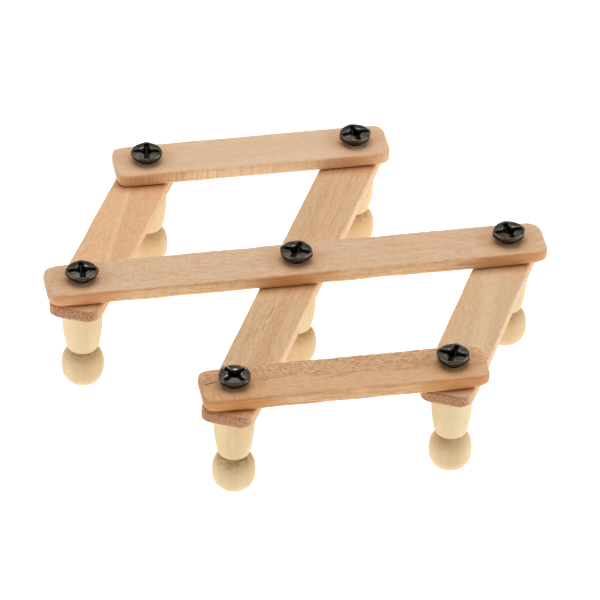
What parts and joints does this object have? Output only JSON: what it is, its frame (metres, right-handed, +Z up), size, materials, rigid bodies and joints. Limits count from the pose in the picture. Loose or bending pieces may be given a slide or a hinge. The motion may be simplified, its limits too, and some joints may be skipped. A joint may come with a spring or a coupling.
{
  "type": "folding wooden scissor linkage",
  "caption": "Folding lazy-tongs linkage of flat wooden bars in two layers, pivoted on black countersunk screws that hold turned ball-ended wooden pegs as its feet.",
  "frame": {"origin": "on the surface that the linkage stands on, under the axis of the centre pivot", "axes": "+X along the upper bars, +Z up along the pivot axes, +Y away from the front bar"},
  "size_m": [0.1054, 0.097, 0.0287],
  "materials": {
    "bar_wood": "sanded, unvarnished",
    "foot_wood": "turned and sanded, unvarnished",
    "screw_black": "black phosphate, semi-gloss"
  },
  "bodies": {
    "upper_bar_rear": {"upper_bar_rear": "bar_wood"},
    "upper_bar_long": {"upper_bar_long": "bar_wood"},
    "upper_bar_front": {"upper_bar_front": "bar_wood"},
    "lower_bar_left": {"lower_bar_left": "bar_wood"},
    "lower_bar_long": {"lower_bar_long": "bar_wood"},
    "lower_bar_right": {"lower_bar_right": "bar_wood"},
    "peg_centre": {"screw_centre": "screw_black", "foot_centre": "foot_wood"},
    "peg_left": {"screw_left": "screw_black", "foot_left": "foot_wood"},
    "peg_right": {"screw_right": "screw_black", "foot_right": "foot_wood"},
    "peg_rear_left": {"screw_rear_left": "screw_black", "foot_rear_left": "foot_wood"},
    "peg_rear_right": {"screw_rear_right": "screw_black", "foot_rear_right": "foot_wood"},
    "peg_front_left": {"screw_front_left": "screw_black", "foot_front_left": "foot_wood"},
    "peg_front_right": {"screw_front_right": "screw_black", "foot_front_right": "foot_wood"}
  },
  "joints": [
    {"name": "fold", "type": "hinge", "parent": "upper_bar_long", "child": "lower_bar_long", "pos_m": [0, 0, 0.0232], "axis": [0, 0, 1], "range_deg": [-49, 101]},
    {"name": "fold_left", "type": "hinge", "parent": "upper_bar_long", "child": "lower_bar_left", "pos_m": [-0.045, 0, 0.0232], "axis": [0, 0, 1], "range_deg": [-49, 101]},
    {"name": "fold_right", "type": "hinge", "parent": "upper_bar_long", "child": "lower_bar_right", "pos_m": [0.045, 0, 0.0232], "axis": [0, 0, 1], "range_deg": [-49, 101]},
    {"name": "fold_rear", "type": "hinge", "parent": "lower_bar_long", "child": "upper_bar_rear", "pos_m": [0.01973, 0.04045, 0.0232], "axis": [0, 0, 1], "range_deg": [-101, 49]},
    {"name": "fold_front", "type": "hinge", "parent": "lower_bar_long", "child": "upper_bar_front", "pos_m": [-0.01973, -0.04045, 0.0232], "axis": [0, 0, 1], "range_deg": [-101, 49]},
    {"name": "peg_centre_spin", "type": "hinge", "parent": "upper_bar_long", "child": "peg_centre", "pos_m": [0, 0, 0.02], "axis": [0, 0, 1], "continuous": true},
    {"name": "peg_left_spin", "type": "hinge", "parent": "upper_bar_long", "child": "peg_left", "pos_m": [-0.045, 0, 0.02], "axis": [0, 0, 1], "continuous": true},
    {"name": "peg_right_spin", "type": "hinge", "parent": "upper_bar_long", "child": "peg_right", "pos_m": [0.045, 0, 0.02], "axis": [0, 0, 1], "continuous": true},
    {"name": "peg_rear_left_spin", "type": "hinge", "parent": "lower_bar_left", "child": "peg_rear_left", "pos_m": [-0.02527, 0.04045, 0.02], "axis": [0, 0, 1], "continuous": true},
    {"name": "peg_rear_right_spin", "type": "hinge", "parent": "lower_bar_long", "child": "peg_rear_right", "pos_m": [0.01973, 0.04045, 0.02], "axis": [0, 0, 1], "continuous": true},
    {"name": "peg_front_left_spin", "type": "hinge", "parent": "lower_bar_long", "child": "peg_front_left", "pos_m": [-0.01973, -0.04045, 0.02], "axis": [0, 0, 1], "continuous": true},
    {"name": "peg_front_right_spin", "type": "hinge", "parent": "lower_bar_right", "child": "peg_front_right", "pos_m": [0.02527, -0.04045, 0.02], "axis": [0, 0, 1], "continuous": true}
  ],
  "couplings": [
    {"joint": "fold_left", "follows": "fold", "ratio": 1},
    {"joint": "fold_right", "follows": "fold", "ratio": 1},
    {"joint": "fold_rear", "follows": "fold", "ratio": -1},
    {"joint": "fold_front", "follows": "fold", "ratio": -1}
  ]
}
